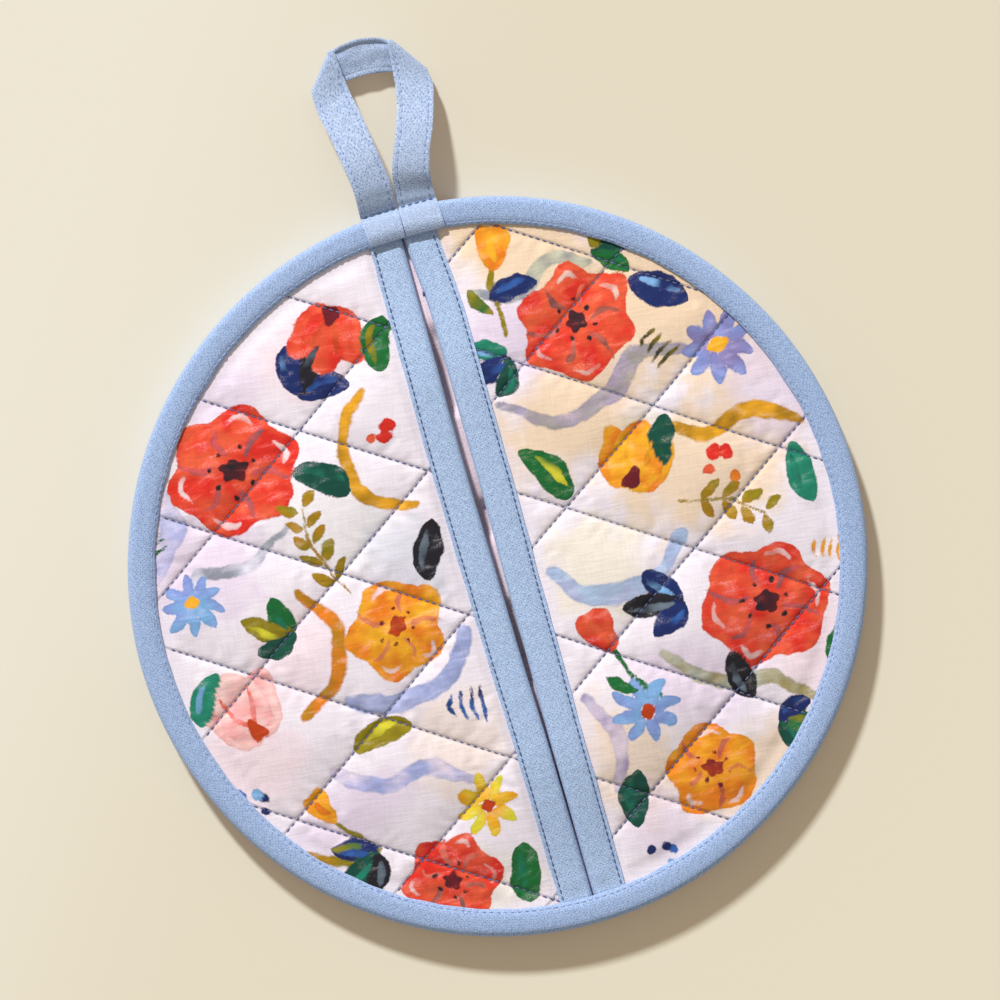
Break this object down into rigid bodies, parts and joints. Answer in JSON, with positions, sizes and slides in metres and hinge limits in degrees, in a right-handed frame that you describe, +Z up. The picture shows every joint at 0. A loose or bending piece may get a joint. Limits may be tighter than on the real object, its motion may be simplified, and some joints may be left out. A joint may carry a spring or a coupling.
{
  "type": "pot holder",
  "caption": "Round quilted cotton pot holder with two hand pockets meeting at a centre slit, taped rim and a ribbon loop to hang it by.",
  "frame": {"origin": "centre of the disc on the table top, on the flat underside", "axes": "+Y from the centre to the hanging loop, +Z up from the table, +X to the right of the loop seen from above"},
  "size_m": [0.216, 0.2672, 0.0135],
  "materials": {
    "printed_cotton": "matt woven cotton with a loose flower print in red, orange, blue, olive and black on pale pink",
    "pink_lining": "matt plain woven cotton, pale pink",
    "wadding": "soft off-white wadding",
    "blue_tape": "matt woven cotton bias tape, light blue"
  },
  "bodies": {
    "root": {"back_outer_cloth": "printed_cotton", "back_wadding": "wadding", "back_lining_cloth": "pink_lining", "left_face_cloth": "printed_cotton", "left_wadding": "wadding", "left_lining_cloth": "pink_lining", "right_face_cloth": "printed_cotton", "right_wadding": "wadding", "right_lining_cloth": "pink_lining", "left_opening_binding": "blue_tape", "right_opening_binding": "blue_tape", "rim_binding": "blue_tape", "hanging_loop": "blue_tape"}
  },
  "joints": []
}
